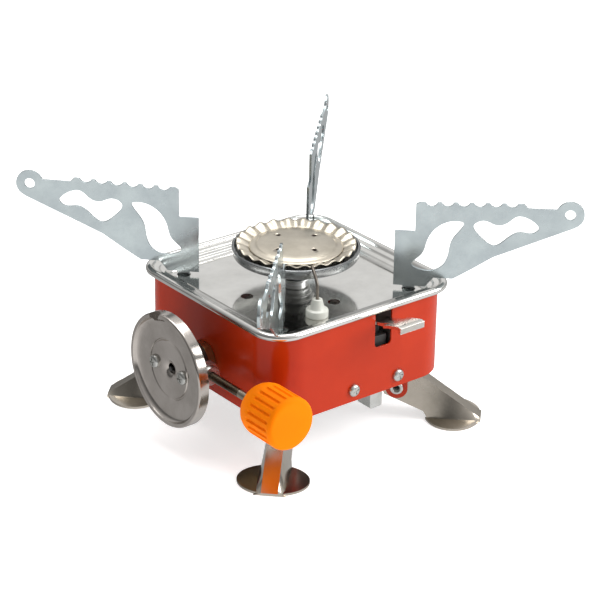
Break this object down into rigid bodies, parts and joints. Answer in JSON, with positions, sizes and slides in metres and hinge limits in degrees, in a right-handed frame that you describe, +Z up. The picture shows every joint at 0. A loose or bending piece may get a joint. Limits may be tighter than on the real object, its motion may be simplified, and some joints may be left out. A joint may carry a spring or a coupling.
{
  "type": "camping stove",
  "caption": "Pocket gas camping stove: red square housing, folding legs, toothed folding pot supports, round burner, igniter lever, side gas valve with knob.",
  "frame": {"origin": "on the ground under the burner's centre", "axes": "+X right, +Y back, +Z up; the igniter lever is on the front wall (-Y), the gas inlet on the left wall (-X)"},
  "size_m": [0.1512, 0.1512, 0.091],
  "materials": {
    "red_enamel": "gloss",
    "stainless": "polished",
    "zinc_plate": "satin",
    "nickel_steel": "satin",
    "burner_nickel": "satin",
    "zinc_cast": "satin",
    "cast_alloy": "matte",
    "brass": "satin",
    "valve_metal": "satin",
    "screw_steel": "satin",
    "ceramic_white": "gloss",
    "knob_orange": "matte",
    "black_plastic": "matte",
    "lead_rubber": "matte",
    "seal_rubber": "matte"
  },
  "bodies": {
    "stove": {"housing": "red_enamel", "top_tray": "stainless", "leg_bracket_front_left": "red_enamel", "leg_bracket_front_right": "red_enamel", "leg_bracket_back_right": "red_enamel", "leg_bracket_back_left": "red_enamel", "leg_rivet_front_left": "screw_steel", "leg_rivet_front_right": "screw_steel", "leg_rivet_back_right": "screw_steel", "leg_rivet_back_left": "screw_steel", "support_washer_front_left": "screw_steel", "support_washer_front_right": "screw_steel", "support_washer_back_right": "screw_steel", "support_washer_back_left": "screw_steel", "burner_neck": "zinc_cast", "burner_cup": "zinc_cast", "flame_ring": "burner_nickel", "burner_cap": "burner_nickel", "burner_mixer": "cast_alloy", "mixer_bracket": "screw_steel", "gas_jet": "brass", "gas_tube": "brass", "gas_union": "brass", "union_locknut": "brass", "spark_insulator": "ceramic_white", "spark_electrode": "screw_steel", "ignition_lead": "lead_rubber", "piezo_housing": "black_plastic", "piezo_strap": "screw_steel", "igniter_bracket": "screw_steel", "bracket_screws": "screw_steel", "lever_pin": "screw_steel"},
    "leg_front_left": {"leg_front_left": "nickel_steel"},
    "support_front_left": {"pot_support_front_left": "zinc_plate", "support_collar_front_left": "screw_steel"},
    "leg_front_right": {"leg_front_right": "nickel_steel"},
    "support_front_right": {"pot_support_front_right": "zinc_plate", "support_collar_front_right": "screw_steel"},
    "leg_back_right": {"leg_back_right": "nickel_steel"},
    "support_back_right": {"pot_support_back_right": "zinc_plate", "support_collar_back_right": "screw_steel"},
    "leg_back_left": {"leg_back_left": "nickel_steel"},
    "support_back_left": {"pot_support_back_left": "zinc_plate", "support_collar_back_left": "screw_steel"},
    "valve": {"valve_body": "valve_metal", "gland_nut": "screw_steel", "inlet_plate": "nickel_steel", "inlet_backing": "screw_steel", "inlet_screws": "screw_steel", "inlet_seal": "seal_rubber", "inlet_pin": "brass"},
    "control": {"valve_stem": "screw_steel", "knob": "knob_orange"},
    "lever": {"igniter_lever": "nickel_steel"},
    "plunger": {"piezo_plunger": "black_plastic"}
  },
  "joints": [
    {"name": "leg_fold_front_left", "type": "hinge", "parent": "stove", "child": "leg_front_left", "pos_m": [-0.02828, -0.02828, 0.013], "axis": [0.7071, -0.7071, 0], "range_deg": [0, 130]},
    {"name": "leg_fold_front_right", "type": "hinge", "parent": "stove", "child": "leg_front_right", "pos_m": [0.02828, -0.02828, 0.013], "axis": [0.7071, 0.7071, 0], "range_deg": [0, 130]},
    {"name": "leg_fold_back_right", "type": "hinge", "parent": "stove", "child": "leg_back_right", "pos_m": [0.02828, 0.02828, 0.013], "axis": [-0.7071, 0.7071, 0], "range_deg": [0, 130]},
    {"name": "leg_fold_back_left", "type": "hinge", "parent": "stove", "child": "leg_back_left", "pos_m": [-0.02828, 0.02828, 0.013], "axis": [-0.7071, -0.7071, 0], "range_deg": [0, 130]},
    {"name": "support_fold_front_left", "type": "hinge", "parent": "stove", "child": "support_front_left", "pos_m": [-0.0302, -0.0302, 0.0522], "axis": [0, 0, -1], "range_deg": [0, 130]},
    {"name": "support_fold_front_right", "type": "hinge", "parent": "stove", "child": "support_front_right", "pos_m": [0.0302, -0.0302, 0.0522], "axis": [0, 0, -1], "range_deg": [0, 130]},
    {"name": "support_fold_back_right", "type": "hinge", "parent": "stove", "child": "support_back_right", "pos_m": [0.0302, 0.0302, 0.0522], "axis": [0, 0, -1], "range_deg": [0, 130]},
    {"name": "support_fold_back_left", "type": "hinge", "parent": "stove", "child": "support_back_left", "pos_m": [-0.0302, 0.0302, 0.0522], "axis": [0, 0, -1], "range_deg": [0, 130]},
    {"name": "valve_swivel", "type": "hinge", "parent": "stove", "child": "valve", "pos_m": [-0.05, 0, 0.0324], "axis": [-1, 0, 0], "range_deg": [-10, 15]},
    {"name": "knob_turn", "type": "hinge", "parent": "valve", "child": "control", "pos_m": [-0.05, -0.05, 0.033], "axis": [0, -1, 0], "range_deg": [0, 540]},
    {"name": "lever_press", "type": "hinge", "parent": "stove", "child": "lever", "pos_m": [0.0083, -0.02, 0.0484], "axis": [1, 0, 0], "range_deg": [0, 11], "stiffness_Nm_per_rad": 0.4, "springref_deg": -2.86},
    {"name": "plunger_press", "type": "slide", "parent": "stove", "child": "plunger", "axis": [0, 0, -1], "range_m": [0, 0.0029]}
  ],
  "couplings": [
    {"joint": "plunger_press", "follows": "lever_press", "m_per_rad": 0.0149}
  ]
}
